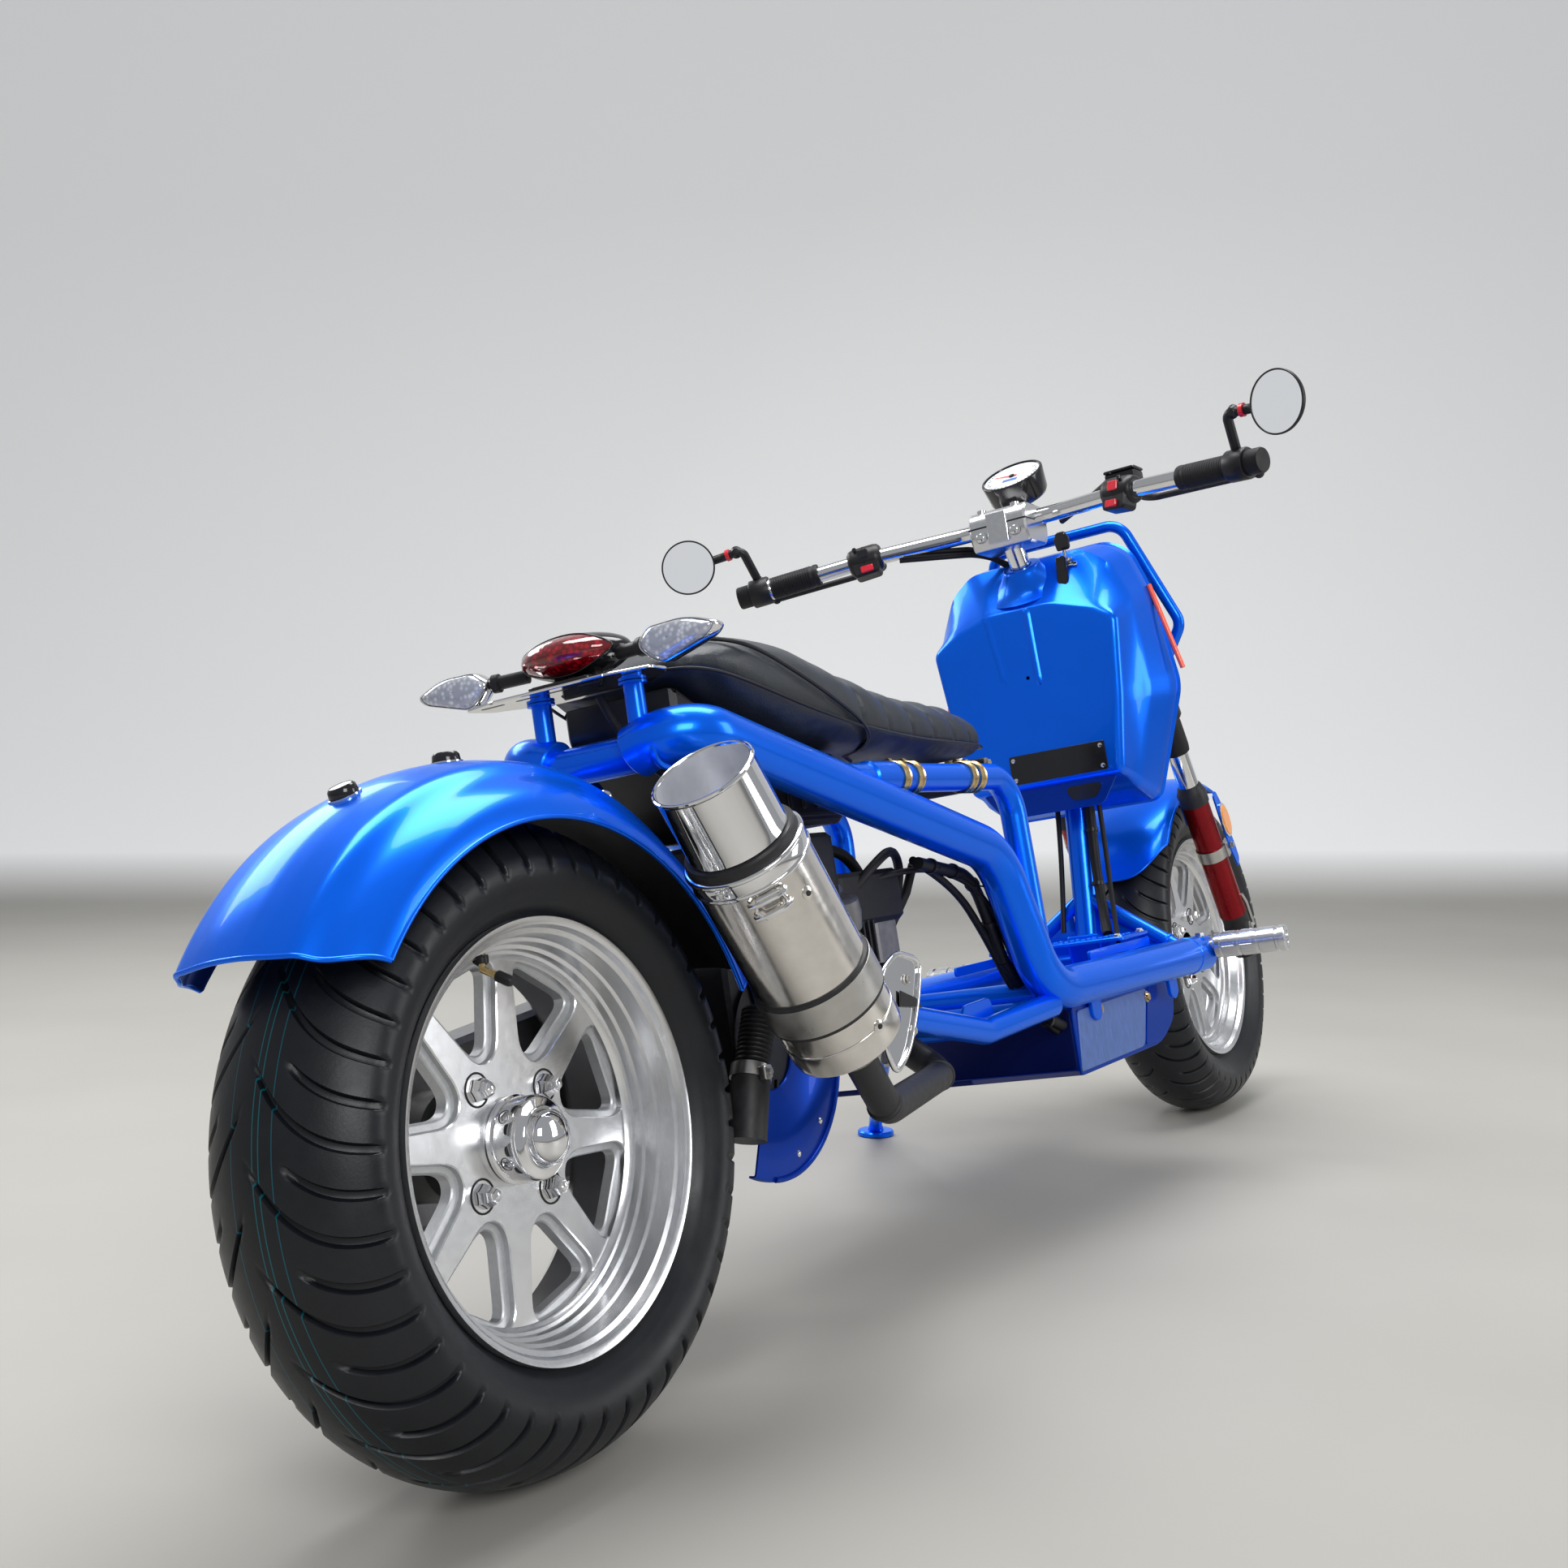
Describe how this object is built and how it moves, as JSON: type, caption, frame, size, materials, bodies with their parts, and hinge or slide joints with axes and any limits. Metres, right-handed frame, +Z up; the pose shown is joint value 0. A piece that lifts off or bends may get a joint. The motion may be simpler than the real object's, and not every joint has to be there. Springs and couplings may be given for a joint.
{
  "type": "motor scooter",
  "caption": "open-frame motor scooter leaning on its side stand, with wide tyres, machined spoke wheels and a side silencer",
  "frame": {"origin": "the middle of the bounding box, on the ground", "axes": "+X forward, +Y to the rider's left, +Z up; the scooter leans 10 degrees to +Y on its side stand"},
  "size_m": [2.0949, 0.9093, 0.9925],
  "materials": {
    "blue_paint": "metallic gloss",
    "black_paint": "satin",
    "steel": "brushed",
    "chrome": "polished",
    "aluminium": "machined",
    "engine_alloy": "cast",
    "tyre": "matt",
    "rubber": "matt",
    "black_plastic": "matt",
    "vinyl": "grained",
    "red_lens": "clear red",
    "clear_lens": "clear",
    "red_anodised": "anodised"
  },
  "bodies": {
    "chassis": {"frame_right": "blue_paint", "frame_left": "blue_paint", "seat_rail_right": "blue_paint", "seat_rail_left": "blue_paint", "rear_bridge": "blue_paint", "head_frame": "blue_paint", "lower_frame": "blue_paint", "floor_box": "blue_paint", "leg_shield": "blue_paint", "headlamps": "black_plastic", "lamp_guard": "blue_paint", "seat_box": "black_plastic", "plate_bracket": "chrome", "tail_lamp": "red_lens", "signal_right": "clear_lens", "signal_left": "clear_lens", "rear_fender": "blue_paint", "engine": "engine_alloy", "cylinder": "engine_alloy", "fan_guard": "blue_paint", "drive_case": "engine_alloy", "intake_boot": "rubber", "header_pipe": "black_paint", "muffler": "steel", "hanger_shield": "chrome", "shock": "chrome", "peg_right": "aluminium", "peg_left": "aluminium", "wiring_harness": "rubber", "deck": "blue_paint", "shield_collar": "aluminium", "seat_hinge": "black_paint", "stand_bracket": "blue_paint"},
    "saddle": {"seat": "vinyl"},
    "stand": {"side_stand": "blue_paint"},
    "rear_wheel": {"rear_rim": "aluminium", "rear_tyre": "tyre", "rear_hub": "steel"},
    "front_wheel": {"front_rim": "aluminium", "front_tyre": "tyre", "front_disc": "steel"},
    "steering": {"fork_crown": "chrome", "fork_right": "red_anodised", "fork_left": "red_anodised", "front_axle": "steel", "front_fender": "blue_paint", "handlebar": "chrome", "gauge": "black_plastic", "grip_right": "rubber", "grip_left": "rubber", "switch_right": "black_plastic", "switch_left": "black_plastic", "mirror_right": "black_plastic", "mirror_left": "black_plastic", "brake_caliper": "aluminium", "control_cables": "rubber"}
  },
  "joints": [
    {"name": "rear_wheel_spin", "type": "hinge", "parent": "chassis", "child": "rear_wheel", "pos_m": [-0.7975, -0.11259, 0.24754], "axis": [0, 0.9848, -0.1736], "continuous": true},
    {"name": "steering_turn", "type": "hinge", "parent": "chassis", "child": "steering", "pos_m": [0.50101, -0.04306, 0.64186], "axis": [-0.4726, 0.153, 0.8679], "range_deg": [-30, 30]},
    {"name": "front_wheel_spin", "type": "hinge", "parent": "steering", "child": "front_wheel", "pos_m": [0.8025, -0.1135, 0.24234], "axis": [0, 0.9848, -0.1736], "continuous": true},
    {"name": "side_stand_fold", "type": "hinge", "parent": "chassis", "child": "stand", "pos_m": [0.0825, 0.0239, 0.18082], "axis": [0.1942, 0.5583, 0.8066], "range_deg": [0, 126]},
    {"name": "seat_lift", "type": "hinge", "parent": "chassis", "child": "saddle", "pos_m": [0.1075, -0.06362, 0.52526], "axis": [0, 0.9848, -0.1736], "range_deg": [0, 60]}
  ]
}
